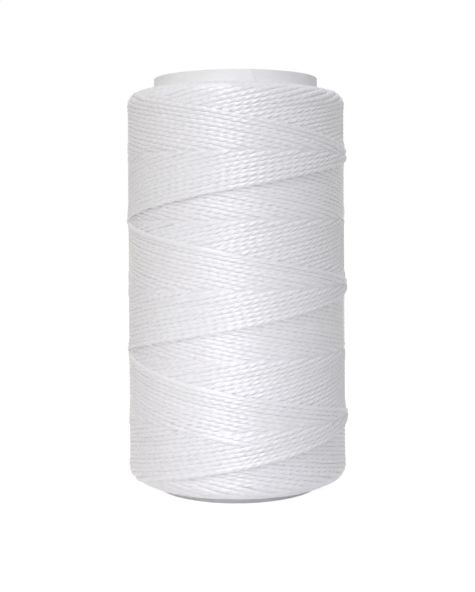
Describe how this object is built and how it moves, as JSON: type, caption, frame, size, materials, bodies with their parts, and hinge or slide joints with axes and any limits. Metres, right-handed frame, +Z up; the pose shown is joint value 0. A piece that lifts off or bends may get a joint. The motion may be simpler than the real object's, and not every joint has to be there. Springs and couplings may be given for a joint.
{
  "type": "spool of thread",
  "caption": "Straight cross-wound package of twisted thread on an open spiral-wound paper tube that slides over a spool pin.",
  "frame": {"origin": "centre of the tube's lower end, on the surface that the spool stands on", "axes": "+Z up along the axis of the tube; the winding is seen from -Y"},
  "size_m": [0.0543, 0.0542, 0.1016],
  "materials": {
    "liner_board": "matte, smooth calendered liner",
    "tube_board": "matte, fibrous board",
    "white_paper": "matte white wrap paper",
    "thread": "soft sheen, three-ply twisted thread"
  },
  "bodies": {
    "root": {"tube_liner": "liner_board", "tube_board_inner": "tube_board", "tube_board_outer": "tube_board", "tube_wrap": "white_paper", "thread_core": "thread", "thread_winding": "thread"}
  },
  "joints": []
}
